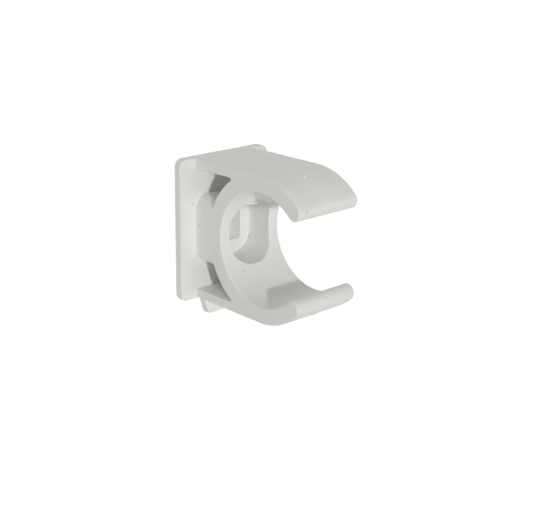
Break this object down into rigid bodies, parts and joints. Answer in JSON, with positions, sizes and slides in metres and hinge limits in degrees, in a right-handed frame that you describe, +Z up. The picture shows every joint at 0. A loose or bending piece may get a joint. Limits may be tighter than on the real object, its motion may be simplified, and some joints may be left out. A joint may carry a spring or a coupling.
{
  "type": "pipe clip",
  "caption": "Open snap-in pipe clip: a C-shaped ring with rounded lips, held off a wall plate by a boss with a screw pocket and by flat walls above and below.",
  "frame": {"origin": "middle of the screw slot, on the face that lies against the wall", "axes": "+X along the pipe, -Y away from the wall and out of the mouth, +Z up the wall, with the tongue at the bottom"},
  "size_m": [0.0228, 0.0304, 0.0329],
  "materials": {
    "moulded_plastic": "white moulded plastic, satin with a fine mottle"
  },
  "bodies": {
    "root": {"clip_body": "moulded_plastic"}
  },
  "joints": []
}
